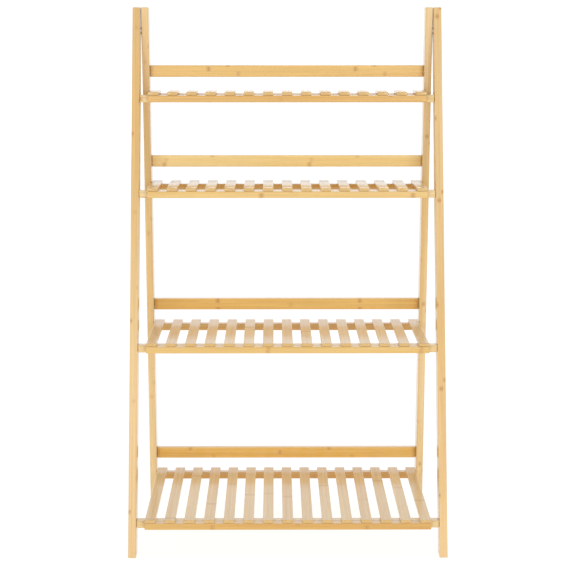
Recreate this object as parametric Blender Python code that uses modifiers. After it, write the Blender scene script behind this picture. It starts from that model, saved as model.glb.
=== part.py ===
"""Folding four-tier ladder shelf made of bamboo bars.

The upright rear frame has two posts joined by four back rails. The leaning front frame has two
legs joined by four crossbars, and it turns on two bolts near the top of the posts. Each shelf
hinges on two pins between the posts, and its slats come down on a crossbar. The apron under the
front ends of the slats then hooks over that crossbar and keeps the frame open.

Metres, +Z up, the front faces -Y. The origin is on the floor, under the middle of the frame.
"""
import math

import bmesh
import bpy
from mathutils import Matrix, Vector

# ---------------------------------------------------------------- driving dimensions
WIDTH = 0.600               # across the outer faces of the front legs
HEIGHT = 1.015              # floor to the tops of legs and posts
FOOT_SPREAD = 0.285         # front face of the feet to the front face of the posts
POST_DEPTH = 0.032          # front to back
POST_WIDTH = 0.014          # left to right
LEG_WIDTH = 0.015           # left to right
LEG_DEPTH = 0.028           # square to the leg's own lean
LEG_GAP = 0.0015            # room between a leg and its post, for a washer
FIT = 0.0003                # gap kept between pieces that touch

SHELF_TOPS = (0.855, 0.676, 0.3905, 0.073)          # top shelf first
BACK_RAIL_TOPS = (0.903, 0.725, 0.432, 0.114)
BACK_RAIL_HEIGHT = 0.023
BACK_RAIL_DEPTH = 0.011

SHELF_WIDTH = 0.537
SLAT_COUNT = 15
SLAT_WIDTH = 0.020
SLAT_THICK = 0.006
SLAT_INSET = 0.0005         # outer slat edge to the end of the apron
REAR_RAIL = 0.014           # square section
APRON = 0.013               # square section
CROSSBAR_DEPTH = 0.015
CROSSBAR_HEIGHT = 0.0145
EASE = 0.0012               # rounding of every timber edge
EASE_STEPS = 2              # facets across a rounded edge

HINGE_INSET = 0.007         # posts' front face to the shelf hinge pins
PIVOT_DROP = 0.045          # top of the frame to the leg bolts
PIVOT_INSET = 0.008         # posts' front face to the leg bolts
BOLT_RADIUS = 0.003
BOLT_HEAD_RADIUS = 0.006
BOLT_HEAD_HEIGHT = 0.003
BOLT_IN_POST = 0.011
PIN_RADIUS = 0.002
PIN_HEAD_RADIUS = 0.004
PIN_HEAD_HEIGHT = 0.002
PIN_IN_RAIL = 0.018
FRAME_SCREW_RADIUS = 0.002  # the screws that hold rails to posts and crossbars to legs
FRAME_SCREW_HEAD_RADIUS = 0.004
FRAME_SCREW_HEAD_HEIGHT = 0.002
FRAME_SCREW_IN_BAR = 0.022
HEAD_LIP = 0.0004           # straight rim of a countersunk head
SOCKET_RADIUS = 0.0022      # six-sided key socket in a bolt's head
SOCKET_DEPTH = 0.0018
ROUND_STEPS = 16

SINGLE_SLAT_SHELVES = (3, 4)    # the lower shelves keep every slat as a piece of its own

# ---------------------------------------------------------------- worked out from them
FRONT_Y = (FOOT_SPREAD - POST_DEPTH) / 2            # front face of the posts
LEAN = FOOT_SPREAD / HEIGHT                         # how far a leg leans per metre of height
LEG_LEVEL_DEPTH = LEG_DEPTH * math.hypot(1, LEAN)   # the leg's depth in a level cut
LEG_INNER_X = WIDTH / 2 - LEG_WIDTH
POST_OUTER_X = LEG_INNER_X - LEG_GAP
POST_INNER_X = POST_OUTER_X - POST_WIDTH
HINGE_Y = FRONT_Y + HINGE_INSET
PIVOT = Vector((0, FRONT_Y + PIVOT_INSET, HEIGHT - PIVOT_DROP))
SLAT_PITCH = (SHELF_WIDTH - SLAT_WIDTH - 2 * SLAT_INSET) / (SLAT_COUNT - 1)
SIDES = (("left", -1), ("right", 1))

# ---------------------------------------------------------------- finishes: colour, roughness, metallic
LEG_BAMBOO = ((0.80, 0.53, 0.24), 0.45, 0.0)
POST_BAMBOO = ((0.76, 0.49, 0.21), 0.45, 0.0)
RAIL_BAMBOO = ((0.77, 0.49, 0.20), 0.42, 0.0)
SLAT_BAMBOO = ((0.76, 0.58, 0.38), 0.50, 0.0)
STEEL = ((0.62, 0.62, 0.60), 0.35, 1.0)


def leg_front_y(z):
    """Y of the leaning legs' front face at height z."""
    return FRONT_Y - (HEIGHT - z) * LEAN


def bearing_z(shelf):
    """Height of the faces that carry the slats of a shelf."""
    return SHELF_TOPS[shelf - 1] - SLAT_THICK - FIT


def hinge_point(shelf):
    """The middle of a shelf's hinge axis."""
    return Vector((0, HINGE_Y, bearing_z(shelf) - REAR_RAIL / 2))


def slat_front_y(shelf):
    """Y of the slats' front ends, flush with the front of the apron."""
    return leg_front_y(bearing_z(shelf)) - FIT - APRON


def clear_scene():
    for old in list(bpy.data.objects):
        bpy.data.objects.remove(old, do_unlink=True)


def new_collection(name, owner=None):
    group = bpy.data.collections.new(name)
    (owner or bpy.context.scene.collection).children.link(group)
    return group


def move_to(obj, group):
    for owner in list(obj.users_collection):
        owner.objects.unlink(obj)
    group.objects.link(obj)


def give_finish(obj, finish):
    """Give an object a material of its own."""
    colour, roughness, metallic = finish
    material = bpy.data.materials.new(obj.name)
    material.use_nodes = True
    shader = material.node_tree.nodes["Principled BSDF"]
    shader.inputs["Base Color"].default_value = (*colour, 1)
    shader.inputs["Roughness"].default_value = roughness
    shader.inputs["Metallic"].default_value = metallic
    obj.data.materials.clear()
    obj.data.materials.append(material)


def make_empty(name, place):
    """An empty that stands on a joint's axis and carries the pieces that turn on it."""
    empty = bpy.data.objects.new(name, None)
    empty.empty_display_size = 0.02
    empty.location = place
    PARTS.objects.link(empty)
    return empty


def hang_on(obj, parent):
    """Parent an object without moving it."""
    obj.parent = parent
    obj.matrix_parent_inverse = Matrix.Translation(-parent.location)


def make_bar(name, low, high, finish, parent, group=None):
    """A square-cut timber bar between two corners, with eased edges."""
    low = Vector(low)
    high = Vector(high)
    bpy.ops.mesh.primitive_cube_add(size=1, location=(low + high) / 2)
    bar = bpy.context.object
    bar.name = name
    bar.data.name = name
    bar.scale = high - low
    bpy.ops.object.transform_apply(location=False, rotation=False, scale=True)
    bevel = bar.modifiers.new("eased_edges", "BEVEL")
    bevel.width = EASE
    bevel.segments = EASE_STEPS
    move_to(bar, group or PARTS)
    give_finish(bar, finish)
    hang_on(bar, parent)
    return bar


def lean_forward(bar):
    """Slide the foot of an upright bar forward, so that both ends stay level."""
    mesh = bmesh.new()
    mesh.from_mesh(bar.data)
    feet = [v for v in mesh.verts if v.co.z < 0]
    bmesh.ops.translate(mesh, verts=feet, vec=(0, -FOOT_SPREAD, 0))
    mesh.to_mesh(bar.data)
    mesh.free()


def screw_profile(length, shank, head, head_height, grow=0.0):
    """Half outline of a countersunk screw: head on top at z = 0, the shank's end at -length.

    A hole's outline is grown, and grown twice lengthwise, because its screw is sunk by one FIT.
    """
    return (
        (0, grow),
        (head + grow, grow),
        (head + grow, -HEAD_LIP - 2 * grow),
        (shank + grow, -head_height - 2 * grow),
        (shank + grow, -length - 2 * grow),
        (0, -length - 2 * grow),
    )


def make_turned(name, profile, group):
    """Turn a half outline about the object's own Z axis."""
    mesh = bpy.data.meshes.new(name)
    points = [(x, 0, z) for x, z in profile]
    mesh.from_pydata(points, [(i, i + 1) for i in range(len(points) - 1)], [])
    turned = bpy.data.objects.new(name, mesh)
    group.objects.link(turned)
    screw = turned.modifiers.new("turning", "SCREW")
    screw.steps = ROUND_STEPS
    screw.render_steps = ROUND_STEPS
    screw.use_merge_vertices = True
    screw.merge_threshold = 0.00005
    screw.use_smooth_shade = False
    return turned


def point_inwards(obj, side, place):
    """Turn a screw so that its head faces outwards along X, and put it in its place."""
    obj.rotation_euler = (0, side * math.pi / 2, 0)
    obj.location = place


def hide_cutter(obj):
    obj.hide_render = True
    obj.display_type = "WIRE"


def cut_with(obj, cutter):
    """Add a cutter to those of an object. One Boolean cuts them all."""
    cut = obj.modifiers.get("holes")
    if cut is None:
        cut = obj.modifiers.new("holes", "BOOLEAN")
        cut.operation = "DIFFERENCE"
        cut.operand_type = "COLLECTION"
        cut.collection = new_collection("holes_in_" + obj.name, CUTTERS)
    cut.collection.objects.link(cutter)


def sink_hole(name, side, place, size, holed):
    """A countersunk screw hole through the pieces that the screw joins."""
    cutter = make_turned("hole_" + name, screw_profile(*size, grow=FIT), CUTTERS)
    point_inwards(cutter, side, place)
    hide_cutter(cutter)
    for piece in holed:
        cut_with(piece, cutter)


def sink_frame_screw_holes(uprights, outer_x, bar, low, high):
    """Holes through both uprights into the two ends of a bar, at the middle of its section."""
    middle = (low + high) / 2
    size = (outer_x - high.x + FRAME_SCREW_IN_BAR, FRAME_SCREW_RADIUS, FRAME_SCREW_HEAD_RADIUS,
            FRAME_SCREW_HEAD_HEIGHT)
    for label, side in SIDES:
        place = Vector((side * outer_x, middle.y, middle.z))
        sink_hole(f"{bar.name}_{label}", side, place, size, (uprights[label], bar))


def make_screw(name, side, place, size, holed, parent):
    """A countersunk screw and the holes for it in the pieces that it passes through."""
    sink_hole(name, side, place, size, holed)
    screw = make_turned(name, screw_profile(*size), PARTS)
    point_inwards(screw, side, place - Vector((side * FIT, 0, 0)))
    give_finish(screw, STEEL)
    hang_on(screw, parent)
    return screw


def cut_key_socket(screw):
    """Sink a six-sided key socket into a bolt's head."""
    bpy.ops.mesh.primitive_cylinder_add(
        vertices=6, radius=SOCKET_RADIUS, depth=2 * SOCKET_DEPTH,
        location=screw.matrix_basis.translation, rotation=(0, math.pi / 2, 0))
    key = bpy.context.object
    key.name = "key_" + screw.name
    move_to(key, CUTTERS)
    hide_cutter(key)
    cut_with(screw, key)


def make_rear_frame(body):
    """Two posts and the four back rails between them."""
    back_y = FRONT_Y + POST_DEPTH
    posts = {}
    for label, side in SIDES:
        inner, outer = sorted((side * POST_INNER_X, side * POST_OUTER_X))
        posts[label] = make_bar("rear_post_" + label, (inner, FRONT_Y, 0), (outer, back_y, HEIGHT),
                                POST_BAMBOO, body)
    reach = POST_INNER_X - FIT
    for shelf, top in enumerate(BACK_RAIL_TOPS, start=1):
        low = Vector((-reach, back_y - BACK_RAIL_DEPTH, top - BACK_RAIL_HEIGHT))
        high = Vector((reach, back_y, top))
        rail = make_bar(f"back_rail_{shelf}", low, high, RAIL_BAMBOO, body)
        sink_frame_screw_holes(posts, POST_OUTER_X, rail, low, high)
    return posts


def make_front_frame(pivot):
    """Two leaning legs and the four crossbars between them."""
    legs = {}
    for label, side in SIDES:
        inner, outer = sorted((side * LEG_INNER_X, side * WIDTH / 2))
        leg = make_bar("front_leg_" + label, (inner, FRONT_Y, 0),
                       (outer, FRONT_Y + LEG_LEVEL_DEPTH, HEIGHT), LEG_BAMBOO, pivot)
        lean_forward(leg)
        legs[label] = leg
    reach = LEG_INNER_X - FIT
    for shelf in range(1, len(SHELF_TOPS) + 1):
        top = bearing_z(shelf)
        front = leg_front_y(top)
        low = Vector((-reach, front, top - CROSSBAR_HEIGHT))
        high = Vector((reach, front + CROSSBAR_DEPTH, top))
        crossbar = make_bar(f"crossbar_{shelf}", low, high, RAIL_BAMBOO, pivot)
        sink_frame_screw_holes(legs, WIDTH / 2, crossbar, low, high)
    return legs


def make_slats(shelf, hinge, group):
    """The slats of a shelf, left to right, each in a piece of its own."""
    top = SHELF_TOPS[shelf - 1]
    slats = []
    for number in range(1, SLAT_COUNT + 1):
        middle = (number - (SLAT_COUNT + 1) / 2) * SLAT_PITCH
        low = (middle - SLAT_WIDTH / 2, slat_front_y(shelf), top - SLAT_THICK)
        high = (middle + SLAT_WIDTH / 2, HINGE_Y + REAR_RAIL / 2, top)
        name = f"shelf_{shelf}_slat_{number:02d}"
        slats.append(make_bar(name, low, high, SLAT_BAMBOO, hinge, group))
    return slats


def make_rear_rail(name, shelf, hinge, rise):
    """The bar that a shelf turns on. It may rise into the slats where they are joined to it."""
    middle = hinge_point(shelf)
    half = REAR_RAIL / 2
    return make_bar(name, (-SHELF_WIDTH / 2, middle.y - half, middle.z - half),
                    (SHELF_WIDTH / 2, middle.y + half, middle.z + half + rise), RAIL_BAMBOO, hinge)


def make_apron(shelf, hinge):
    """The bar under the slats' front ends, which hangs in front of the crossbar."""
    front = slat_front_y(shelf)
    top = bearing_z(shelf)
    make_bar(f"shelf_{shelf}_apron", (-SHELF_WIDTH / 2, front, top - APRON),
             (SHELF_WIDTH / 2, front + APRON, top), RAIL_BAMBOO, hinge)


def make_separate_shelf(shelf, hinge):
    """A shelf whose slats are pieces of their own. Returns its rear rail."""
    make_slats(shelf, hinge, PARTS)
    return make_rear_rail(f"shelf_{shelf}_rear_rail", shelf, hinge, 0)


def make_joined_shelf(shelf, hinge):
    """A shelf whose slats are joined to its rear rail. Returns the joined deck."""
    slats = new_collection(f"joined_slats_{shelf}", CUTTERS)
    for slat in make_slats(shelf, hinge, slats):
        hide_cutter(slat)
    deck = make_rear_rail(f"shelf_{shelf}_deck", shelf, hinge, 2 * FIT)
    give_finish(deck, SLAT_BAMBOO)
    join = deck.modifiers.new("join_slats", "BOOLEAN")
    join.operation = "UNION"
    join.operand_type = "COLLECTION"
    join.collection = slats
    return deck


def make_shelf(shelf, posts):
    """One shelf with its apron and its two hinge pins."""
    hinge = make_empty(f"shelf_{shelf}_hinge", hinge_point(shelf))
    make_shelf_deck = make_separate_shelf if shelf in SINGLE_SLAT_SHELVES else make_joined_shelf
    rail = make_shelf_deck(shelf, hinge)
    make_apron(shelf, hinge)
    length = POST_OUTER_X - SHELF_WIDTH / 2 + PIN_IN_RAIL
    size = (length, PIN_RADIUS, PIN_HEAD_RADIUS, PIN_HEAD_HEIGHT)
    for label, side in SIDES:
        place = Vector((side * POST_OUTER_X, hinge.location.y, hinge.location.z))
        make_screw(f"shelf_{shelf}_pin_{label}", side, place, size, (posts[label], rail), hinge)


def make_leg_bolts(posts, legs, body):
    """The two bolts that the front frame turns on, through the legs and into the posts."""
    length = LEG_WIDTH + LEG_GAP + BOLT_IN_POST
    size = (length, BOLT_RADIUS, BOLT_HEAD_RADIUS, BOLT_HEAD_HEIGHT)
    for label, side in SIDES:
        place = Vector((side * WIDTH / 2, PIVOT.y, PIVOT.z))
        bolt = make_screw(f"leg_bolt_{label}", side, place, size, (posts[label], legs[label]), body)
        cut_key_socket(bolt)


clear_scene()
PARTS = new_collection("ladder_shelf")
CUTTERS = new_collection("cutters")
rear_body = make_empty("rear_frame_origin", Vector((0, 0, 0)))
front_pivot = make_empty("front_frame_pivot", PIVOT)
rear_posts = make_rear_frame(rear_body)
front_legs = make_front_frame(front_pivot)
for shelf_number in range(1, len(SHELF_TOPS) + 1):
    make_shelf(shelf_number, rear_posts)
make_leg_bolts(rear_posts, front_legs, rear_body)
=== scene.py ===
# %% [markdown]
# # A folding ladder shelf in lacquered bamboo
#
# The real object is made of planed bamboo bars: an upright frame with two posts, a leaning frame
# with two legs, and four slatted shelves that hinge on steel pins. The solids of that design
# already exist, and they are the frame that everything in this lesson is built around. The lesson
# adds what a person sees and touches: the grain, the lacquer, the screws, the nails, and the slats
# of the two upper shelves as separate sticks.
#
# The outer box of the solids is kept here, so that the end of the lesson can show how much the box
# changed.

# %% Load the frame
import math

import bmesh
import bpy
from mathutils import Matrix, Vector


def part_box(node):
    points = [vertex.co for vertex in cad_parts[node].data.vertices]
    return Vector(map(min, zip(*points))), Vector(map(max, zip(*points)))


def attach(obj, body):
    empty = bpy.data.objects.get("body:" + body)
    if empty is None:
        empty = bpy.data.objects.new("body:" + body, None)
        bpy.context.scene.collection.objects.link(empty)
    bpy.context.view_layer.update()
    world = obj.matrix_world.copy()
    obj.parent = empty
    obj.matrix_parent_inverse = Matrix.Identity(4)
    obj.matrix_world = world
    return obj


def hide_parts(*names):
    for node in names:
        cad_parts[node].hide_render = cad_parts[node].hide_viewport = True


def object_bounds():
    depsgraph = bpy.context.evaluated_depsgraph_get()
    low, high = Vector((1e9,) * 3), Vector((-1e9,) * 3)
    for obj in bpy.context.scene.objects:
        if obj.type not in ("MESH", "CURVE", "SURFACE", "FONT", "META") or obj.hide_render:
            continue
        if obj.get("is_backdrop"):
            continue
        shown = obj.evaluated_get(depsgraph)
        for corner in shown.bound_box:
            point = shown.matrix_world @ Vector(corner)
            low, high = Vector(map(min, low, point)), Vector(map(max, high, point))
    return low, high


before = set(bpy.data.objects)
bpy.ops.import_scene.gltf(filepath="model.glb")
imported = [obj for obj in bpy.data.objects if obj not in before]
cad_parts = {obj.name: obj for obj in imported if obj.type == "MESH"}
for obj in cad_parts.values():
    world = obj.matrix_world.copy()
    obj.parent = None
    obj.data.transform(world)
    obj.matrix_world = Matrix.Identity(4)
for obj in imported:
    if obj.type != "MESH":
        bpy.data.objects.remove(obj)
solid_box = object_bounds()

# %% [markdown]
# ## Measures taken from the frame
#
# The sizes could be typed in, but a later change of the design would then leave gaps. So every
# size below is read from a solid that exists, and the new pieces fit with no fitting. The legs
# lean, and their slope is found from the middles of the lowest and the highest crossbar, because
# both sit at the same depth in the legs. The slats of the two lower shelves are separate solids,
# so one of them gives the width and the thickness of every slat.

# %% Read the sizes
SHELVES = (1, 2, 3, 4)
JOINED_SHELVES = (1, 2)          # the shelves whose slats are made here
SLAT_COUNT = 15
MM = 1000                        # millimetres in a metre, for printing


def middle_of(node):
    """The middle of a solid's box."""
    low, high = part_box(node)
    return (low + high) / 2


def size_of(node):
    """The sides of a solid's box."""
    low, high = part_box(node)
    return high - low


def slat_name(shelf, number):
    """The name of one slat, counted from the left."""
    return f"shelf_{shelf}_slat_{number:02d}"


lean = middle_of("crossbar_1") - middle_of("crossbar_4")
leg_direction = lean.normalized()
slat_middles = [middle_of(slat_name(3, number)).x for number in range(1, SLAT_COUNT + 1)]
slat_pitch = slat_middles[1] - slat_middles[0]
slat_size = size_of(slat_name(3, 1))
print(f"legs lean {math.degrees(math.atan2(lean.y, lean.z)):.2f} degrees")
print(f"slats are {slat_size.x * MM:.1f} mm wide and {slat_size.z * MM:.1f} mm thick")
print(f"there is one every {slat_pitch * MM:.2f} mm")

# %% [markdown]
# ## The camera
#
# A long lens from a few metres away, a little above the top shelf and looking slightly down, is
# how such furniture is usually shown: the bars stay nearly parallel and the slats of each shelf
# can still be seen. Tilting a camera down makes uprights lean together towards the floor. The lens
# could be shifted instead, as on a view camera, which keeps them straight, but a large shift pushes
# the object out of the picture when it is seen from other sides. So the camera is tilted, and the
# lens is shifted only a little. Depth of field stays off.

# %% Place the camera
CAMERA_PLACE = (-0.026, -2.468, 1.0)   # metres
CAMERA_TILT_DOWN = 11.04               # degrees
CAMERA_TURN = -0.22                    # degrees, about the vertical
CAMERA_LENS = 81.88                    # mm, on a sensor 36 mm wide
CAMERA_SHIFT = (0.016, -0.030)         # shares of the picture's width

bpy.ops.object.select_all(action="DESELECT")
bpy.ops.object.camera_add(location=CAMERA_PLACE)
camera = bpy.context.object
camera.name = "studio_camera"
camera.rotation_euler = (math.radians(90 - CAMERA_TILT_DOWN), 0, math.radians(CAMERA_TURN))
camera.data.lens = CAMERA_LENS
camera.data.shift_x, camera.data.shift_y = CAMERA_SHIFT
bpy.context.scene.camera = camera
distance = middle_of("front_leg_left").y - CAMERA_PLACE[1]
print(f"the camera stands {distance:.2f} m in front of the legs")

# %% [markdown]
# ## The studio: a white world
#
# The shelf stands in a white studio, where light comes from everywhere. A ring of lamps could give
# it, but a white world does so at once and evenly. Two Light Path answers make the world brighter
# where the camera sees it, or sees it mirrored in the lacquer, without adding light to the timber.
# The plain "Standard" view keeps white as white.

# %% Light the world
WORLD_LIGHT = 0.66
BACKDROP_LIGHT = 1.15            # what is seen directly, and in the lacquer
WHITE = (1, 1, 1, 1)

scene = bpy.context.scene
scene.view_settings.view_transform = "Standard"
scene.world = bpy.data.worlds.new("white_studio")
scene.world.use_nodes = True
world_tree = scene.world.node_tree
light_around = world_tree.nodes["Background"]
light_around.inputs["Color"].default_value = WHITE
light_around.inputs["Strength"].default_value = WORLD_LIGHT
backdrop = world_tree.nodes.new("ShaderNodeBackground")
backdrop.inputs["Color"].default_value = WHITE
backdrop.inputs["Strength"].default_value = BACKDROP_LIGHT
ray = world_tree.nodes.new("ShaderNodeLightPath")
seen = world_tree.nodes.new("ShaderNodeMath")
seen.operation = "MAXIMUM"
choose = world_tree.nodes.new("ShaderNodeMixShader")
world_output = world_tree.nodes["World Output"]
for give, take in ((ray.outputs["Is Camera Ray"], seen.inputs[0]),
                   (ray.outputs["Is Glossy Ray"], seen.inputs[1]),
                   (seen.outputs["Value"], choose.inputs["Fac"]),
                   (light_around.outputs["Background"], choose.inputs[1]),
                   (backdrop.outputs["Background"], choose.inputs[2]),
                   (choose.outputs["Shader"], world_output.inputs["Surface"])):
    world_tree.links.new(give, take)
print("the world gives", WORLD_LIGHT, "and shows", BACKDROP_LIGHT)

# %% [markdown]
# ## The studio: the floor
#
# A plain pale floor goes far past the picture on every side. A curved backdrop could hide where it
# ends, but the world behind it is white already. So it is enough that the floor glows a little,
# which makes it as white as the world and leaves a faint shadow under the shelf.

# %% Lay the floor
FLOOR_SIZE = 14.0                # metres
FLOOR_COLOUR = (0.26, 0.26, 0.26, 1)
FLOOR_GLOW = 0.84
FLOOR_ROUGHNESS = 0.9
FLOOR_SHINE = 0.2

bpy.ops.mesh.primitive_plane_add(size=FLOOR_SIZE)
floor = bpy.context.object
floor.name = "studio_floor"
floor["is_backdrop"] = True
floor_paint = bpy.data.materials.new("floor_white")
floor_paint.use_nodes = True
floor_shader = floor_paint.node_tree.nodes["Principled BSDF"]
floor_shader.inputs["Base Color"].default_value = FLOOR_COLOUR
floor_shader.inputs["Roughness"].default_value = FLOOR_ROUGHNESS
floor_shader.inputs["Specular IOR Level"].default_value = FLOOR_SHINE
floor_shader.inputs["Emission Color"].default_value = WHITE
floor_shader.inputs["Emission Strength"].default_value = FLOOR_GLOW
floor.data.materials.append(floor_paint)
print("the floor is", FLOOR_SIZE, "m wide")

# %% [markdown]
# ## The studio: the lamps
#
# The white world alone would light every face alike. Two soft lamps stand far in front, left and
# right of the middle, so that fronts are brighter than sides, and each leg shades the post behind
# it below the place where they part. Nearer lamps would be brighter on the shelves at their own
# height. A weak third lamp stands behind, for the edges that face away.

# %% Hang the lamps
LAMPS_LOOK_AT = Vector((0, 0, 0.5))
LAMPS = {                        # name: (place, side in metres, watts)
    "left_lamp": ((-1.8, -5.0, 0.9), 1.5, 44.0),
    "right_lamp": ((1.9, -5.0, 0.9), 1.5, 50.0),
    "back_lamp": ((0.4, 2.4, 2.4), 1.6, 10.0),
}

for name, (lamp_place, side, watts) in LAMPS.items():
    bpy.ops.object.light_add(type="AREA", location=lamp_place)
    lamp = bpy.context.object
    lamp.name = name
    lamp.data.shape = "SQUARE"
    lamp.data.size = side
    lamp.data.energy = watts
    towards = LAMPS_LOOK_AT - Vector(lamp_place)
    lamp.rotation_euler = towards.to_track_quat("-Z", "Y").to_euler()
print("lamps:", ", ".join(LAMPS))

# %% [markdown]
# ## Small helpers for node trees
#
# A material is a tree of nodes, and writing one in code is mostly adding a node and wiring it. It
# could be written out line by line, but then the recipe drowns in the wiring. These few functions
# do it instead, so that each recipe further on reads like the recipe itself. A value is either a
# plain number or another node's output, and `feed` accepts both.

# %% Node helpers
def add_node(tree, kind, **settings):
    """Adds a node and sets its own switches."""
    node = tree.nodes.new(kind)
    for setting, value in settings.items():
        setattr(node, setting, value)
    return node


def feed(tree, value, socket):
    """Wires another node's output to the socket, or sets the socket to a plain value."""
    if isinstance(value, bpy.types.NodeSocket):
        tree.links.new(value, socket)
    else:
        socket.default_value = value


def maths(tree, operation, *values):
    """One Math node."""
    node = add_node(tree, "ShaderNodeMath", operation=operation)
    for value, socket in zip(values, node.inputs):
        feed(tree, value, socket)
    return node.outputs["Value"]


def vector_maths(tree, operation, first, second):
    """One Vector Math node. A dot product comes out as a number."""
    node = add_node(tree, "ShaderNodeVectorMath", operation=operation)
    feed(tree, first, node.inputs[0])
    feed(tree, second, node.inputs[1])
    return node.outputs["Value" if operation == "DOT_PRODUCT" else "Vector"]


def combine(tree, x, y, z):
    """Three numbers as one vector."""
    node = add_node(tree, "ShaderNodeCombineXYZ")
    for value, socket in zip((x, y, z), node.inputs):
        feed(tree, value, socket)
    return node.outputs["Vector"]


def soft_step(tree, value, start, end, low=0.0, high=1.0):
    """Goes smoothly from low to high as the value passes from start to end."""
    node = add_node(tree, "ShaderNodeMapRange", interpolation_type="SMOOTHSTEP")
    for given, label in ((value, "Value"), (start, "From Min"), (end, "From Max"),
                         (low, "To Min"), (high, "To Max")):
        feed(tree, given, node.inputs[label])
    return node.outputs["Result"]


def noise(tree, where, scale=1.0, detail=2.0):
    """Cloudy noise between 0 and 1."""
    node = add_node(tree, "ShaderNodeTexNoise")
    for given, label in ((where, "Vector"), (scale, "Scale"), (detail, "Detail")):
        feed(tree, given, node.inputs[label])
    return node.outputs["Fac"]


def scaled(tree, value, amount, offset=0.0):
    """The value times the amount, plus the offset."""
    return maths(tree, "MULTIPLY_ADD", value, amount, offset)


def blend_colours(tree, share, first, second, way="MIX"):
    """Mixes the second colour over the first."""
    node = add_node(tree, "ShaderNodeMix", data_type="RGBA", blend_type=way)
    feed(tree, share, node.inputs["Factor"])
    feed(tree, first, next(s for s in node.inputs if s.name == "A" and s.type == "RGBA"))
    feed(tree, second, next(s for s in node.inputs if s.name == "B" and s.type == "RGBA"))
    return next(s for s in node.outputs if s.type == "RGBA")


def start_group(name, inputs, outputs):
    """A new node group with named sockets. Returns the group, what comes in and what goes out."""
    kinds = {"number": "NodeSocketFloat", "vector": "NodeSocketVector", "colour": "NodeSocketColor"}
    group = bpy.data.node_groups.new(name, "ShaderNodeTree")
    for label, kind in inputs.items():
        group.interface.new_socket(label, in_out="INPUT", socket_type=kinds[kind])
    for label, kind in outputs.items():
        group.interface.new_socket(label, in_out="OUTPUT", socket_type=kinds[kind])
    coming_in = group.nodes.new("NodeGroupInput").outputs
    going_out = group.nodes.new("NodeGroupOutput").inputs
    return group, coming_in, going_out


def use_group(tree, group, **values):
    """Places a group in a tree. The words of a socket's name are joined by _ here."""
    node = add_node(tree, "ShaderNodeGroup", node_tree=group)
    for label, value in values.items():
        feed(tree, value, node.inputs[label.replace("_", " ")])
    return node.outputs


print("node helpers ready")

# %% [markdown]
# ## Bamboo: the strips in a bar
#
# Bamboo timber isn't sawn from a trunk. The cane is split into strips, the strips are planed
# square, and they are glued side by side. So a bar shows three things that wood doesn't: flat
# strips that differ a little in tone, very fine straight fibres with short brown flecks, and now
# and then a knuckle, the darker band where the cane had a joint.
#
# A painted picture of bamboo could be wrapped round every bar, but it would stretch at the ends
# and repeat from bar to bar. Here the timber is a recipe that works through the whole solid. It
# turns a position on the object into three measures: along the grain, across the strips, and
# through the thickness. The strip a point lies in is a whole number, and that number gives each
# strip chance values of its own, for everything that changes from strip to strip.

# %% Find the strip
def find_strip(tree, given):
    """The three measures of a place in a bar, and three chance values of the strip there."""
    along = vector_maths(tree, "DOT_PRODUCT", given["Position"], given["Grain"])
    across = vector_maths(tree, "DOT_PRODUCT", given["Position"], given["Side"])
    third = vector_maths(tree, "CROSS_PRODUCT", given["Grain"], given["Side"])
    through = vector_maths(tree, "DOT_PRODUCT", given["Position"], third)
    strip = maths(tree, "FLOOR", maths(tree, "DIVIDE", across, given["Strip Width"]))
    layer = maths(tree, "FLOOR", maths(tree, "DIVIDE", through, given["Strip Thickness"]))
    chance = add_node(tree, "ShaderNodeTexWhiteNoise", noise_dimensions="3D")
    feed(tree, combine(tree, strip, layer, given["Seed"]), chance.inputs["Vector"])
    parts = add_node(tree, "ShaderNodeSeparateColor")
    feed(tree, chance.outputs["Color"], parts.inputs["Color"])
    values = [parts.outputs[part] for part in ("Red", "Green", "Blue")]
    return (along, across, through), values


print("strips ready")

# %% [markdown]
# ## Bamboo: the knuckles
#
# Where the cane had a joint, the planed strip shows a soft brown band with a thin darker line in
# its middle. The joints of one strip come at even distances, and each strip was glued in where it
# fell, so the bands of neighbouring strips don't meet. A ring texture could draw them, but it would
# run straight across the bar. Instead the distance along the grain is counted in joints, each strip
# starts the count at a chance place, and a little noise makes the band wander.

# %% Place the knuckles
KNUCKLE_HALF_WIDTH = 0.0080       # metres
LINE_HALF_WIDTH = KNUCKLE_HALF_WIDTH * 0.3
LINE_SHARE = 0.25                 # of the whole mark
BAND_SHARE = 0.75
STRAY = 0.0035                    # metres that the band wanders
STRAY_MIDDLE = 0.0018             # about half of that, so that it wanders both ways
STRAY_WAVES = 260.0               # per metre across the grain
MOST_JOINTS = 7.0                 # by which one strip's count may be ahead
CHANCE_RANGE = (0.1, 0.9)         # the chance values that knuckles get stronger between
FAINTEST, STRONGEST = 0.35, 1.0


def place_knuckles(tree, measures, spacing, strip_start, strip_mark):
    """1 in the middle of a knuckle, and 0 away from it."""
    along, across, through = measures
    waves = combine(tree, strip_start, maths(tree, "MULTIPLY", across, STRAY_WAVES), through)
    joints = scaled(tree, strip_start, MOST_JOINTS, maths(tree, "DIVIDE", along, spacing))
    from_joint = maths(tree, "SUBTRACT", maths(tree, "FRACT", joints), 0.5)
    gap = maths(tree, "MULTIPLY", maths(tree, "ABSOLUTE", from_joint), spacing)
    gap = scaled(tree, noise(tree, waves), STRAY, maths(tree, "SUBTRACT", gap, STRAY_MIDDLE))
    band = soft_step(tree, gap, KNUCKLE_HALF_WIDTH, 0.0)
    line = soft_step(tree, gap, LINE_HALF_WIDTH, 0.0)
    mark = scaled(tree, line, LINE_SHARE, maths(tree, "MULTIPLY", band, BAND_SHARE))
    strength = soft_step(tree, strip_mark, *CHANCE_RANGE, FAINTEST, STRONGEST)
    return maths(tree, "MULTIPLY", mark, strength)


print(f"a knuckle is {2 * KNUCKLE_HALF_WIDTH * MM:.0f} mm wide at most")

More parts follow.
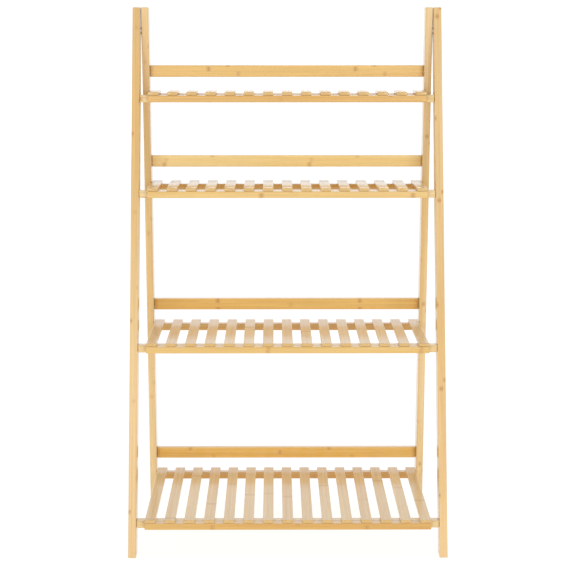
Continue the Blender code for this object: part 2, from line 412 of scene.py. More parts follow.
# %% [markdown]
# ## Bamboo: fibres, flecks and streaks
#
# The fibres run the whole length of the cane. Noise is round and cloudy by itself, but when it is
# read with few waves along the grain and many across, it is drawn out into fibres. A wave texture
# could draw lines too, but they would all be alike. The same noise at other stretches gives short
# brown flecks, long soft streaks, and a slow drift of tone along the bar. On the sawn ends, where
# the grain comes out, it shows as the dots of cut fibres by itself.

# %% Draw out the noise
FIBRE_STRETCH = (7.0, 620.0)      # waves per metre, along and across the grain
FLECK_STRETCH = (38.0, 1500.0)
STREAK_STRETCH = (2.6, 170.0)
DRIFT_STRETCH = (1.6, 14.0)
FLECK_RANGE = (0.60, 0.74)        # only the peaks of the noise are flecks
STRIP_SHIFT = 9.0                 # how far apart the noise of two strips may lie


def drawn_out(tree, measures, stretch, shift, detail):
    """Noise that is drawn out along the grain."""
    along, across, through = measures
    slow, fast = stretch
    where = combine(
        tree,
        scaled(tree, along, slow, shift),
        maths(tree, "MULTIPLY", across, fast),
        maths(tree, "MULTIPLY", through, fast),
    )
    return noise(tree, where, detail=detail)


fleck_length, fleck_width = MM / FLECK_STRETCH[0], MM / FLECK_STRETCH[1]
print(f"a fleck is about {fleck_length:.0f} mm long and {fleck_width:.1f} mm wide")

# %% [markdown]
# ## Bamboo: sawn ends, and painted light on tops
#
# Two faces of a bar have a colour of their own. A sawn end drinks the lacquer and turns amber. The
# top face of a cross piece is painted paler: a painted highlight, where light falls from above.
# Each could be given a material of its own, face by face, but then the colour would change in a
# hard line. Instead they are found from the way that a face looks on the object, so the colour
# changes softly round the edge, and stays in its place when the bar is seen from elsewhere.

# %% Find the ends and the tops
UP = (0, 0, 1)
END_RANGE = (0.7, 0.92)           # how squarely a face meets the grain
TOP_RANGE = (0.55, 0.90)          # how squarely a face looks up


def find_faces(tree, grain):
    """Two masks: 1 on sawn ends and 0 elsewhere, and 1 on tops, which get painted light, and 0
    elsewhere.
    """
    facing = add_node(tree, "ShaderNodeTexCoord").outputs["Normal"]
    end = maths(tree, "ABSOLUTE", vector_maths(tree, "DOT_PRODUCT", facing, grain))
    top = vector_maths(tree, "DOT_PRODUCT", facing, UP)
    return soft_step(tree, end, *END_RANGE), soft_step(tree, top, *TOP_RANGE)


print(f"an end looks along the grain to within {math.degrees(math.acos(END_RANGE[1])):.0f} degrees")

# %% [markdown]
# ## Bamboo: the colour
#
# The tone goes from pale to warm with the strip, the streaks and the drift. The fibres and flecks
# shade it, the knuckles are laid over it, the ends are tinted, and the tops get a painted
# highlight. One long colour ramp could hold all those browns, but a ramp mixes its parts for good.
# With one Mix for each part, the strength of each is a number that can be turned by itself.

# %% Mix the colour
# Painted highlight: the paler colour that faces looking up are given.
PAINTED_TOP_HIGHLIGHT = (0.92, 0.78, 0.58, 1)
SAWN_END = (0.66, 0.40, 0.11, 1)
DRIFT_RANGE = (0.28, 0.72)
FIBRE_RANGE = (0.25, 0.75)
FIBRE_LIGHT, FIBRE_DARK = 1.05, 0.90
STREAK_TONE = 2.2                 # how far streaks push the tone
END_TINT = 0.65                   # how much of its own colour a part brings
KNUCKLE_TINT = 0.80
FLECK_SHADE = -0.13               # what a part adds to the brightness
END_SHADE = -0.04


def mix_colour(tree, given, parts):
    """The colour of the timber, from the parts that change it, with painted light on the tops."""
    tone = scaled(tree, maths(tree, "SUBTRACT", parts["strip"], 0.5), given["Strip Contrast"],
                  soft_step(tree, parts["drift"], *DRIFT_RANGE))
    tone = scaled(tree, maths(tree, "SUBTRACT", parts["streaks"], 0.5), STREAK_TONE, tone)
    colour = blend_colours(tree, tone, given["Pale"], given["Warm"])
    colour = blend_colours(tree, scaled(tree, parts["end"], END_TINT), colour, SAWN_END)
    shade = soft_step(tree, parts["fibres"], *FIBRE_RANGE, FIBRE_LIGHT, FIBRE_DARK)
    for part, amount in (("flecks", FLECK_SHADE), ("end", END_SHADE)):
        shade = maths(tree, "MULTIPLY", shade, scaled(tree, parts[part], amount, 1.0))
    colour = blend_colours(tree, 1.0, colour, combine(tree, shade, shade, shade), "MULTIPLY")
    knuckle = scaled(tree, parts["knuckle"], KNUCKLE_TINT)
    colour = blend_colours(tree, knuckle, colour, given["Knuckle"])
    # Faces that look up are painted paler, as painted light from above.
    top = maths(tree, "MULTIPLY", parts["top"], given["Sanded Top"])
    return blend_colours(tree, top, colour, PAINTED_TOP_HIGHLIGHT)


print("colours ready")

# %% [markdown]
# ## Bamboo: the whole recipe
#
# Every finish of bamboo needs the same recipe with other numbers. It could be written into each
# material, but one change would then have to be made many times. So it is a node group, built once
# and placed in each material. It gives out only what changes over the surface: colour, roughness,
# how much lacquer there is, and height for a Bump node. Fibres, knuckles and ends are rougher than
# the rest, and ends and flecks hold less lacquer.

# %% Build the bamboo group
SMOOTHEST = 0.34                  # the least roughness
FIBRE_ROUGHER = 0.12
KNUCKLE_ROUGHER = 0.10
END_ROUGHER = 0.28
MOST_LACQUER = 0.90
END_LACQUER = -0.30
FLECK_LACQUER = -0.08
FLECK_HEIGHT = -0.45              # where a fibre's height is 1
KNUCKLE_HEIGHT = 0.9


def build_bamboo_group():
    """Colour, roughness, lacquer and height of bamboo strips glued side by side."""
    tree, given, out = start_group(
        "laminated_bamboo",
        {
            "Position": "vector", "Grain": "vector", "Side": "vector", "Strip Width": "number",
            "Strip Thickness": "number", "Knuckle Spacing": "number", "Seed": "number",
            "Pale": "colour", "Warm": "colour", "Knuckle": "colour", "Strip Contrast": "number",
            "Sanded Top": "number",
        },
        {"Color": "colour", "Roughness": "number", "Lacquer": "number", "Height": "number"},
    )
    measures, (strip_tone, strip_start, strip_mark) = find_strip(tree, given)
    knuckle = place_knuckles(tree, measures, given["Knuckle Spacing"], strip_start, strip_mark)
    shift = scaled(tree, strip_start, STRIP_SHIFT, given["Seed"])
    fibres = drawn_out(tree, measures, FIBRE_STRETCH, shift, detail=3.0)
    peaks = drawn_out(tree, measures, FLECK_STRETCH, shift, detail=1.0)
    flecks = soft_step(tree, peaks, *FLECK_RANGE)
    streaks = drawn_out(tree, measures, STREAK_STRETCH, shift, detail=2.0)
    drift = drawn_out(tree, measures, DRIFT_STRETCH, given["Seed"], detail=1.0)
    end, top = find_faces(tree, given["Grain"])
    parts = {"strip": strip_tone, "streaks": streaks, "drift": drift, "fibres": fibres,
             "flecks": flecks, "knuckle": knuckle, "end": end, "top": top}
    feed(tree, mix_colour(tree, given, parts), out["Color"])

    rough = scaled(tree, fibres, FIBRE_ROUGHER, SMOOTHEST)
    rough = scaled(tree, knuckle, KNUCKLE_ROUGHER, rough)
    feed(tree, scaled(tree, end, END_ROUGHER, rough), out["Roughness"])
    lacquer = scaled(tree, end, END_LACQUER, MOST_LACQUER)
    feed(tree, scaled(tree, flecks, FLECK_LACQUER, lacquer), out["Lacquer"])
    height = scaled(tree, flecks, FLECK_HEIGHT, fibres)
    feed(tree, scaled(tree, knuckle, KNUCKLE_HEIGHT, height), out["Height"])
    return tree


bamboo_group = build_bamboo_group()
print("bamboo group has", len(bamboo_group.nodes), "nodes")

# %% [markdown]
# ## Worn and eased edges
#
# The edges of every bar are sanded round, and the lacquer is thinnest there, so an edge looks a
# little paler and catches the light. The Pointiness of a mesh could find edges, but only where it
# has many small faces, and these bars have few. A Bevel node answers with the direction that a
# surface would face if its edges were rounded. Where that differs from the direction it really
# faces, there is an edge. The same answer, used as the surface's normal, rounds the edge for the
# light as well. Steel uses the same group.

# %% Build the edge group
BEVEL_SAMPLES = 6
EDGE_RANGE = (0.995, 0.86)        # how alike the two directions are, on the flat and on an edge
WEAR_WAVES = 70.0                 # per metre
WEAR_RANGE = (0.32, 0.62)
LEAST_WEAR, MOST_WEAR = 0.25, 1.0


def build_edge_group():
    """Where the edges are, and the direction that a rounded edge faces."""
    tree, given, out = start_group(
        "eased_edges",
        {"Radius": "number", "Position": "vector"},
        {"Mask": "number", "Normal": "vector"},
    )
    rounded = add_node(tree, "ShaderNodeBevel", samples=BEVEL_SAMPLES)
    feed(tree, given["Radius"], rounded.inputs["Radius"])
    flat = add_node(tree, "ShaderNodeNewGeometry").outputs["Normal"]
    same = vector_maths(tree, "DOT_PRODUCT", rounded.outputs["Normal"], flat)
    edge = soft_step(tree, same, *EDGE_RANGE)
    clouds = noise(tree, given["Position"], scale=WEAR_WAVES, detail=3.0)
    wear = soft_step(tree, clouds, *WEAR_RANGE, LEAST_WEAR, MOST_WEAR)
    feed(tree, maths(tree, "MULTIPLY", edge, wear), out["Mask"])
    feed(tree, rounded.outputs["Normal"], out["Normal"])
    return tree


edge_group = build_edge_group()
print("edge group has", len(edge_group.nodes), "nodes")

# %% [markdown]
# ## The bamboo finishes
#
# Every bar is the same timber under the same satin lacquer. One material could do for all of them,
# but the grain has to run the long way of each bar: up the posts, up the lean of the legs, left to
# right in the rails and aprons, and front to back in the slats. So a function makes a material, and
# each kind of bar gives it a grain, a batch of timber, which for the rails and aprons holds painted
# light and shade as well, how much painted highlight its top gets, and the size of its strips.
#
# Sheen, index of refraction and the roughness of the clear coat are the same all over, so they are
# set on the shader itself.

# %% Write the recipe of a bamboo material
RIGHT, BACK = (1, 0, 0), (0, 1, 0)
EDGE_RADIUS = 0.0014              # metres
PALE_EDGE = (0.90, 0.72, 0.48, 1)
EDGE_TINT = 0.16                  # how much of its colour an edge brings
EDGE_ROUGHER = 0.08
GRAIN_BUMP = 0.30
GRAIN_DEPTH = 0.00006             # metres
LACQUER_ROUGHNESS = 0.14
LACQUER_IOR = 1.5
NARROW_STRIP = (0.0072, 0.0090)   # width and thickness, in metres
KNUCKLE = (0.46, 0.20, 0.03, 1)


def make_bamboo(name, grain, spacing, seed, pale, warm, side=RIGHT, strip=NARROW_STRIP,
                contrast=0.35, start=(0, 0, 0), knuckle=KNUCKLE, sanded=0.0):
    """One bamboo finish, with knuckles at the spacing, in metres."""
    material = bpy.data.materials.new(name)
    material.use_nodes = True
    tree = material.node_tree
    shader = tree.nodes["Principled BSDF"]
    place = add_node(tree, "ShaderNodeTexCoord").outputs["Object"]
    moved = add_node(tree, "ShaderNodeMapping")
    moved.inputs["Location"].default_value = start
    feed(tree, place, moved.inputs["Vector"])
    timber = use_group(
        tree, bamboo_group, Position=moved.outputs["Vector"], Grain=grain, Side=side,
        Strip_Width=strip[0], Strip_Thickness=strip[1], Knuckle_Spacing=spacing, Seed=seed,
        Pale=pale, Warm=warm, Knuckle=knuckle, Strip_Contrast=contrast, Sanded_Top=sanded,
    )
    edges = use_group(tree, edge_group, Radius=EDGE_RADIUS, Position=place)
    edge_share = scaled(tree, edges["Mask"], EDGE_TINT)
    colour = blend_colours(tree, edge_share, timber["Color"], PALE_EDGE)
    feed(tree, colour, shader.inputs["Base Color"])
    rough = scaled(tree, edges["Mask"], EDGE_ROUGHER, timber["Roughness"])
    feed(tree, rough, shader.inputs["Roughness"])
    feed(tree, timber["Lacquer"], shader.inputs["Coat Weight"])
    bump = add_node(tree, "ShaderNodeBump")
    bump.inputs["Strength"].default_value = GRAIN_BUMP
    bump.inputs["Distance"].default_value = GRAIN_DEPTH
    feed(tree, timber["Height"], bump.inputs["Height"])
    feed(tree, edges["Normal"], bump.inputs["Normal"])
    feed(tree, bump.outputs["Normal"], shader.inputs["Normal"])
    shader.inputs["IOR"].default_value = LACQUER_IOR
    shader.inputs["Coat Roughness"].default_value = LACQUER_ROUGHNESS
    shader.inputs["Coat IOR"].default_value = LACQUER_IOR
    return material


print(f"the grain is {GRAIN_DEPTH * MM:.2f} mm deep at most")

# %% [markdown]
# ## Batches of timber, with painted light and shade
#
# No two batches of bamboo have the same tone. The posts and legs are cut from a pale, even one. The
# back rails are amber, and one of them is paler. The aprons of the top and bottom shelves are
# darker than those of the two between, and the rear rails are as dark. The crossbars are nearly as
# pale as the posts. The tones of the back rails and aprons are partly their batch and partly
# painted light and shade: the back rails, deeper in the shelf, are painted paler, and the aprons in
# front darker. Only the cross pieces get a painted highlight on top.
#
# A slat is planed from one wide strip, so its strip is as wide as the distance from slat to slat,
# which gives each slat a tone and a knuckle of its own. The pattern starts half a strip to the
# side and a little way up, so that no slat lies across two strips.

# %% Make the bamboo materials
FAINT_KNUCKLE = (0.60, 0.36, 0.14, 1)
SLAT_STRIP = (slat_pitch, 0.05)            # width and thickness
SLAT_START = (slat_pitch / 2, 0, 0.01)
# The tops of the cross pieces get a painted highlight.
CROSS_PIECE = {"grain": RIGHT, "side": BACK, "sanded": 0.55}
RAIL = {**CROSS_PIECE, "spacing": 0.29, "contrast": 0.40}
TIMBERS = {
    "leg_bamboo": {
        "grain": leg_direction, "spacing": 0.36, "seed": 3.1,
        "pale": (0.76, 0.515, 0.22, 1), "warm": (0.70, 0.42, 0.125, 1)},
    "post_bamboo": {
        "grain": UP, "spacing": 0.34, "seed": 7.7,
        "pale": (0.78, 0.58, 0.29, 1), "warm": (0.73, 0.475, 0.175, 1)},
    # The back rails are painted paler than the aprons: partly their batch, partly painted light.
    "rail_bamboo": {
        **RAIL, "seed": 5.3,
        "pale": (0.81, 0.515, 0.135, 1), "warm": (0.75, 0.41, 0.06, 1)},
    # Back rail 2 is paler still: partly its batch, partly painted light.
    "pale_rail_bamboo_with_painted_light": {
        **RAIL, "seed": 2.3,
        "pale": (0.88, 0.65, 0.25, 1), "warm": (0.83, 0.55, 0.14, 1)},
    # The aprons and rear rails are painted darker than the back rails: partly their batch, partly
    # painted shade.
    "amber_apron_bamboo_with_painted_shade": {
        **RAIL, "seed": 6.1,
        "pale": (0.69, 0.415, 0.105, 1), "warm": (0.63, 0.32, 0.05, 1)},
    "pale_apron_bamboo_with_painted_shade": {
        **RAIL, "seed": 4.6,
        "pale": (0.75, 0.49, 0.155, 1), "warm": (0.69, 0.41, 0.085, 1)},
    "crossbar_bamboo": {
        **CROSS_PIECE, "spacing": 0.33, "seed": 8.4,
        "pale": (0.77, 0.56, 0.25, 1), "warm": (0.71, 0.47, 0.16, 1)},
    "slat_bamboo": {
        "grain": BACK, "spacing": 0.31, "seed": 1.9, "contrast": 0.60,
        "strip": SLAT_STRIP, "start": SLAT_START, "knuckle": FAINT_KNUCKLE,
        "pale": (0.80, 0.57, 0.27, 1), "warm": (0.75, 0.49, 0.20, 1)},
}

finishes = {}
for name, timber in TIMBERS.items():
    finishes[name] = make_bamboo(name, **timber)
print("bamboo finishes:", ", ".join(finishes))

# %% [markdown]
# ## Zinc-plated steel
#
# Bolts, pins, screws and nails are plain steel with a thin coat of zinc. Zinc is a little blue and
# a little cloudy, and handling leaves it duller in some places than in others. A plain metal with
# one grey and one roughness would look like chrome. Here cloudy noise mixes two greys and two
# roughnesses, and much finer noise gives the marks that turning leaves on a head.

# %% Make the steel
CLOUD_WAVES = 260.0               # per metre
TURNING_WAVES = 2600.0
DULL_ZINC = (0.50, 0.52, 0.55, 1)
BRIGHT_ZINC = (0.74, 0.73, 0.70, 1)
BARE_STEEL = (0.86, 0.86, 0.85, 1)
BARE_SHARE = 0.5                  # of the colour on an edge
STEEL_EDGE = 0.0004               # radius, in metres
CLOUD_RANGE = (0.3, 0.7)
STEEL_SMOOTH, STEEL_ROUGH = 0.24, 0.42
TURNING_BUMP = 0.25
TURNING_DEPTH = 0.00004           # metres


def make_steel():
    """Cloudy bright zinc with fine marks."""
    material = bpy.data.materials.new("zinc_steel")
    material.use_nodes = True
    tree = material.node_tree
    shader = tree.nodes["Principled BSDF"]
    place = add_node(tree, "ShaderNodeTexCoord").outputs["Object"]
    clouds = noise(tree, place, scale=CLOUD_WAVES, detail=4.0)
    marks = noise(tree, place, scale=TURNING_WAVES, detail=2.0)
    zinc = blend_colours(tree, clouds, DULL_ZINC, BRIGHT_ZINC)
    edges = use_group(tree, edge_group, Radius=STEEL_EDGE, Position=place)
    colour = blend_colours(tree, scaled(tree, edges["Mask"], BARE_SHARE), zinc, BARE_STEEL)
    feed(tree, colour, shader.inputs["Base Color"])
    rough = soft_step(tree, clouds, *CLOUD_RANGE, STEEL_SMOOTH, STEEL_ROUGH)
    feed(tree, rough, shader.inputs["Roughness"])
    bump = add_node(tree, "ShaderNodeBump")
    bump.inputs["Strength"].default_value = TURNING_BUMP
    bump.inputs["Distance"].default_value = TURNING_DEPTH
    feed(tree, marks, bump.inputs["Height"])
    feed(tree, edges["Normal"], bump.inputs["Normal"])
    feed(tree, bump.outputs["Normal"], shader.inputs["Normal"])
    shader.inputs["Metallic"].default_value = 1.0
    return material


finishes["steel"] = make_steel()
print("finishes in all:", len(finishes))

# %% [markdown]
# ## Dress the solids
#
# Each solid already names the finish it takes, so dressing it is a matter of swapping the plain
# material in its slot for the detailed one of the same name. The bars that have a tone of their
# own, partly their batch and partly painted light and shade, are named in a table, which serves the
# rear rails that are made later as well.

# %% Give every solid its finish
OWN_TIMBER_AND_LIGHT = {
    "back_rail_2": "pale_rail_bamboo_with_painted_light",
    "shelf_1_apron": "amber_apron_bamboo_with_painted_shade",
    "shelf_2_apron": "pale_apron_bamboo_with_painted_shade",
    "shelf_3_apron": "pale_apron_bamboo_with_painted_shade",
    "shelf_4_apron": "amber_apron_bamboo_with_painted_shade",
}
for number in SHELVES:
    OWN_TIMBER_AND_LIGHT[f"crossbar_{number}"] = "crossbar_bamboo"
    OWN_TIMBER_AND_LIGHT[f"shelf_{number}_rear_rail"] = "amber_apron_bamboo_with_painted_shade"

for name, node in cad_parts.items():
    for slot in node.material_slots:
        finish = slot.material.name.split(".")[0]
        slot.material = finishes[OWN_TIMBER_AND_LIGHT.get(name, finish)]
print("dressed", len(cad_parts), "solids")
# The tones of these bars hold painted light and shade as well as their batch.
print("bars from a batch of their own:", len(OWN_TIMBER_AND_LIGHT))

# %% [markdown]
# ## Helpers for making pieces by hand
#
# A mesh could be written down as a list of points, but nobody can see a shape in such a list. So
# new pieces start as a primitive, go into edit mode, and are shaped there, as by hand. An operator
# acts on whatever is selected, so each piece begins with an empty selection, and faces are then
# picked in code by the way they face. At the end a piece gets its finish, moves with its body, and
# has its place in its mesh.

# %% Piece helpers
MERGE_DISTANCE = 0.000005         # metres
SMOOTH_UP_TO = math.radians(35)   # a sharper angle stays an edge


def begin():
    """Nothing selected, in object mode."""
    bpy.ops.object.select_all(action="DESELECT")


def open_for_editing(name):
    """Names the primitive that was just added, and opens it in edit mode."""
    piece = bpy.context.object
    piece.name = name
    piece.data.name = name
    bpy.ops.object.transform_apply(location=True, rotation=True, scale=True)
    bpy.ops.object.mode_set(mode="EDIT")
    return piece


def pick_faces(piece, wanted):
    """Selects only the faces that the test wants."""
    bpy.ops.mesh.select_mode(type="FACE")
    bpy.ops.mesh.select_all(action="DESELECT")
    mesh = bmesh.from_edit_mesh(piece.data)
    for face in mesh.faces:
        face.select_set(wanted(face))
    bmesh.update_edit_mesh(piece.data)


def close(piece):
    """Leaves edit mode with clean, outward normals and smooth shading on the round parts."""
    bpy.ops.mesh.select_all(action="SELECT")
    bpy.ops.mesh.remove_doubles(threshold=MERGE_DISTANCE)
    bpy.ops.mesh.normals_make_consistent(inside=False)
    bpy.ops.object.mode_set(mode="OBJECT")
    bpy.ops.object.shade_smooth_by_angle(angle=SMOOTH_UP_TO)


def cut(piece, cutter):
    """Takes the cutter's shape out of the piece, and the cutter away."""
    bpy.context.view_layer.objects.active = piece
    hole = piece.modifiers.new("hole", "BOOLEAN")
    hole.operation = "DIFFERENCE"
    hole.object = cutter
    bpy.ops.object.modifier_apply(modifier=hole.name)
    bpy.data.objects.remove(cutter)


def hand_over(piece, body, slot):
    """Gives a piece its finish and its body."""
    piece.data.materials.clear()
    piece.data.materials.append(finishes[OWN_TIMBER_AND_LIGHT.get(piece.name, slot)])
    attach(piece, body)


def copy_of(piece, name, move):
    """A copy with its own mesh, moved."""
    begin()
    piece.select_set(True)
    bpy.context.view_layer.objects.active = piece
    bpy.ops.object.duplicate(linked=False)
    twin = bpy.context.object
    twin.name = name
    twin.data.name = name
    bpy.ops.transform.translate(value=move)
    bpy.ops.object.transform_apply(location=True, rotation=False, scale=False)
    return twin


print("piece helpers ready")

# %% [markdown]
# ## Bars with eased edges
#
# A slat or a rail is a planed stick whose edges are sanded round. A Bevel modifier could round
# them, but it would have to be applied on every copy. It is simpler to round the first stick in
# edit mode: it starts as a cube at its real size and place, and all its edges are bevelled, with
# three facets each, which is enough to look round at a radius of about a millimetre.

# %% Make one bar
EASE = 0.0012                     # metres
EASE_FACETS = 3


def make_bar(name, low, high):
    """A stick between two corners, with eased edges."""
    begin()
    bpy.ops.mesh.primitive_cube_add(size=1, location=(low + high) / 2, scale=high - low)
    bar = open_for_editing(name)
    bpy.ops.mesh.select_mode(type="EDGE")
    bpy.ops.mesh.select_all(action="SELECT")
    bpy.ops.mesh.bevel(offset=EASE, segments=EASE_FACETS, profile=0.5, affect="EDGES")
    close(bar)
    return bar


print("bars are eased by", EASE * MM, "mm in", EASE_FACETS, "facets")

# %% [markdown]
# ## Slats and rear rails of the two upper shelves
#
# On the real shelf all fifteen slats are separate sticks that lie on the rear rail and on the
# apron. Among the solids, the two upper decks are joined into one piece each. A joined deck could
# be dressed as it is, but the grain of its rail would run the wrong way and its edges would stay
# sharp. Here they come apart again: one slat is modelled for each deck and copied to the places
# that the lower shelves' slats have. The rear rail lies under their rear ends, and a steel pin
# goes into a hole in each end, so the hole is cut with a Boolean.

# %% Make the upper decks
PIN_HOLE_GAP = 0.0003             # left free round a pin
HOLE_FACETS = 24


def bore_for_pin(rail, pin):
    """Cuts the hole that a pin lies in, from the end of the rail inwards."""
    low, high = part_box(pin)
    centre = (low + high) / 2
    begin()
    bpy.ops.mesh.primitive_cylinder_add(
        vertices=HOLE_FACETS, radius=(high.z - low.z) / 2 + PIN_HOLE_GAP,
        depth=high.x - low.x + 2 * PIN_HOLE_GAP,
        location=centre, rotation=(0, math.pi / 2, 0))
    cutter = bpy.context.object
    bpy.ops.object.transform_apply(location=True, rotation=True, scale=True)
    cut(rail, cutter)


for shelf in JOINED_SHELVES:
    body = f"shelf_{shelf}"
    deck = f"{body}_deck"
    deck_low, deck_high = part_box(deck)
    slat_low = Vector((slat_middles[0] - slat_size.x / 2, deck_low.y, deck_high.z - slat_size.z))
    slat_high = Vector((slat_middles[0] + slat_size.x / 2, deck_high.y, deck_high.z))
    first = make_bar(slat_name(shelf, 1), slat_low, slat_high)
    slats = [first]
    for number in range(2, SLAT_COUNT + 1):
        step = slat_middles[number - 1] - slat_middles[0]
        slats.append(copy_of(first, slat_name(shelf, number), (step, 0, 0)))
    for slat in slats:
        hand_over(slat, body, "slat_bamboo")
        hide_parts(deck)

    rail_low, rail_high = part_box("shelf_3_rear_rail")
    rise = Vector((0, 0, deck_high.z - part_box(slat_name(3, 1))[1].z))
    rail = make_bar(f"{body}_rear_rail", rail_low + rise, rail_high + rise)
    for side in ("left", "right"):
        bore_for_pin(rail, f"{body}_pin_{side}")
    hand_over(rail, body, "rail_bamboo")
    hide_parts(deck)
    print(f"{deck}: {len(slats)} slats, and a rear rail with {len(rail.data.polygons)} faces")

# %% [markdown]
# ## Screws that hold the two frames together
#
# Each back rail is held by a screw through either post, and each crossbar by a screw through
# either leg. They are countersunk, so only a round head with a key socket shows, lying just under
# the face. A disc on the surface would do for a distant look, but it has no socket, and nothing
# would be in the hole that the solids have. A screw is turned on a lathe, so it is drawn as one
# circle that is extruded inwards again and again: the straight rim, the cone, the shank, and the
# point. The socket is cut last.

# %% Make one screw
SCREW_HEAD = 0.0040               # radius
SCREW_RIM = 0.0004                # length, as are the next four
SCREW_CONE = 0.0016
SCREW_IN_BAR = 0.022
SCREW_POINT = 0.004
SCREW_SUNK = 0.0003
SCREW_SHANK = 0.0020              # radius
SCREW_POINT_SHARE = 0.25          # of the shank's radius
SOCKET_RADIUS = 0.0019
SOCKET_DEPTH = 0.0013
SOCKET_SIDES = 6
ROUND = 32                        # sides of a turned piece


def extrude_ring(step, size):
    """Pushes the selected ring along X and sizes it."""
    bpy.ops.mesh.extrude_region_move(TRANSFORM_OT_translate={"value": (step, 0, 0)})
    bpy.ops.transform.resize(value=(1, size, size))


def make_screw(name, outer, bar_end, place):
    """A countersunk screw from the face at X = outer into a bar that ends at X = bar_end."""
    inwards = 1 if bar_end > outer else -1
    head_x = outer + inwards * SCREW_SUNK
    length = abs(bar_end - head_x) + SCREW_IN_BAR
    begin()
    bpy.ops.mesh.primitive_circle_add(
        vertices=ROUND, radius=SCREW_HEAD, fill_type="NGON",
        location=(head_x, place.y, place.z), rotation=(0, math.pi / 2, 0))
    screw = open_for_editing(name)
    bpy.ops.mesh.select_mode(type="FACE")
    bpy.ops.mesh.select_all(action="SELECT")
    shank_length = length - SCREW_RIM - SCREW_CONE - SCREW_POINT
    for step, size in ((SCREW_RIM, 1.0), (SCREW_CONE, SCREW_SHANK / SCREW_HEAD),
                       (shank_length, 1.0), (SCREW_POINT, SCREW_POINT_SHARE)):
        extrude_ring(inwards * step, size)
    close(screw)
    begin()
    bpy.ops.mesh.primitive_cylinder_add(
        vertices=SOCKET_SIDES, radius=SOCKET_RADIUS, depth=2 * SOCKET_DEPTH,
        location=(head_x, place.y, place.z), rotation=(0, math.pi / 2, 0))
    socket = bpy.context.object
    bpy.ops.object.transform_apply(location=True, rotation=True, scale=True)
    cut(screw, socket)
    return screw


screws = []
for number in SHELVES:
    for side, corner in (("left", 0), ("right", 1)):
        for bar, upright, body in ((f"back_rail_{number}", f"rear_post_{side}", "rear_frame"),
                                   (f"crossbar_{number}", f"front_leg_{side}", "front_frame")):
            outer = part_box(upright)[corner].x
            bar_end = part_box(bar)[corner].x
            screw = make_screw(f"{bar}_screw_{side}", outer, bar_end, middle_of(bar))
            hand_over(screw, body, "steel")
            screws.append(screw)
print("made", len(screws), "screws with", len(screws[0].data.polygons), "faces each")

# %% [markdown]
# ## Washers at the leg bolts
#
# The leaning frame turns on two bolts, and a thin washer keeps each leg from rubbing on its post.
# A hole could be cut with a Boolean, as in the rails, but a ring is simpler by hand. It starts as
# a disc, both its faces are inset, and the two inner faces are bridged, which opens the hole.

# %% Make the washers
WASHER_RADIUS = 0.0068            # metres
WASHER_HOLE = 0.0034              # radius
WASHER_SLACK = 0.0002             # left free on either side
SIDEWAYS = 0.9                    # a normal's share along X, on a face that looks left or right


def make_washer(name, low_x, high_x, place):
    """A flat ring between two planes that face left and right."""
    begin()
    bpy.ops.mesh.primitive_cylinder_add(
        vertices=ROUND, radius=WASHER_RADIUS, depth=high_x - low_x,
        location=((low_x + high_x) / 2, place.y, place.z), rotation=(0, math.pi / 2, 0))
    washer = open_for_editing(name)
    pick_faces(washer, lambda face: abs(face.normal.x) > SIDEWAYS)
    bpy.ops.mesh.inset(thickness=WASHER_RADIUS - WASHER_HOLE)
    bpy.ops.mesh.bridge_edge_loops()
    close(washer)
    return washer


for side, outer_corner, inner_corner in (("left", 0, 1), ("right", 1, 0)):
    post_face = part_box(f"rear_post_{side}")[outer_corner].x
    leg_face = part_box(f"front_leg_{side}")[inner_corner].x
    low_x = min(post_face, leg_face) + WASHER_SLACK
    high_x = max(post_face, leg_face) - WASHER_SLACK
    washer = make_washer(f"leg_washer_{side}", low_x, high_x, middle_of(f"leg_bolt_{side}"))
    hand_over(washer, "rear_frame", "steel")
    print(f"{washer.name} is {(high_x - low_x) * MM:.2f} mm thick")

# %% [markdown]
# ## Nails under the shelves
#
# From above no fastener shows on a shelf. Each slat is nailed from below, once through the rear
# rail and once through the apron, and the flat heads lie on their undersides. A nail could be
# copied fourteen times, as the slats are, but the nails of one bar never differ or part. So one
# nail is made for each bar, and an Array modifier repeats it at the distance from slat to slat.

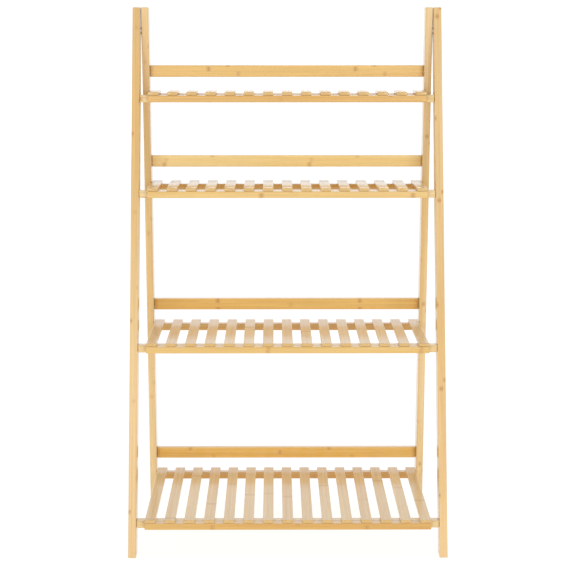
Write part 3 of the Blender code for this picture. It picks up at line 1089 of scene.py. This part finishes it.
# %% Make the rows of nails
NAIL_HEAD = 0.0014                # radius
NAIL_SHANK = 0.0006               # radius
NAIL_POINT_SHARE = 0.2            # of the shank's radius
NAIL_PROUD = 0.00025              # length, as are the next two
NAIL_IN_SLAT = 0.003
NAIL_POINT = 0.001
NAIL_SIDES = 12


def box_of(piece):
    """A piece's lowest and highest corners."""
    axes = list(zip(*(vertex.co for vertex in piece.data.vertices)))
    return Vector([min(axis) for axis in axes]), Vector([max(axis) for axis in axes])


def make_nails(name, bar_low, bar_high):
    """A row of nails, one under each slat, driven up through a bar."""
    begin()
    place = (slat_middles[0], (bar_low.y + bar_high.y) / 2, bar_low.z - NAIL_PROUD)
    bpy.ops.mesh.primitive_circle_add(
        vertices=NAIL_SIDES, radius=NAIL_HEAD, fill_type="NGON", location=place)
    nails = open_for_editing(name)
    bpy.ops.mesh.select_mode(type="FACE")
    bpy.ops.mesh.select_all(action="SELECT")
    shank_length = bar_high.z - bar_low.z + NAIL_IN_SLAT
    for step, size in ((NAIL_PROUD * 2, 1.0), (0.0, NAIL_SHANK / NAIL_HEAD),
                       (shank_length, 1.0), (NAIL_POINT, NAIL_POINT_SHARE)):
        bpy.ops.mesh.extrude_region_move(TRANSFORM_OT_translate={"value": (0, 0, step)})
        bpy.ops.transform.resize(value=(size, size, 1))
    close(nails)
    row = nails.modifiers.new("row", "ARRAY")
    row.count = SLAT_COUNT
    row.use_relative_offset = False
    row.use_constant_offset = True
    row.constant_offset_displace = (slat_pitch, 0, 0)
    bpy.ops.object.modifier_apply(modifier=row.name)
    return nails


for shelf in SHELVES:
    body = f"shelf_{shelf}"
    for bar in ("rear_rail", "apron"):
        low, high = box_of(bpy.data.objects[f"{body}_{bar}"])
        row = make_nails(f"{body}_{bar}_nails", low, high)
        hand_over(row, body, "steel")
print("made", 2 * len(SHELVES), "rows of", SLAT_COUNT, "nails")

# %% [markdown]
# ## The change of size
#
# The dressed object must be no bigger than its solids. Both boxes could be compared by eye in the
# viewport, but a tenth of a millimetre doesn't show there, so the largest change is printed.

# %% Print the change of size
dressed_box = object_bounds()
changes = [abs(after - before) for corners in zip(solid_box, dressed_box)
           for before, after in zip(*corners)]
print(f"the object's box changed by {max(changes) * MM:.3f} mm")
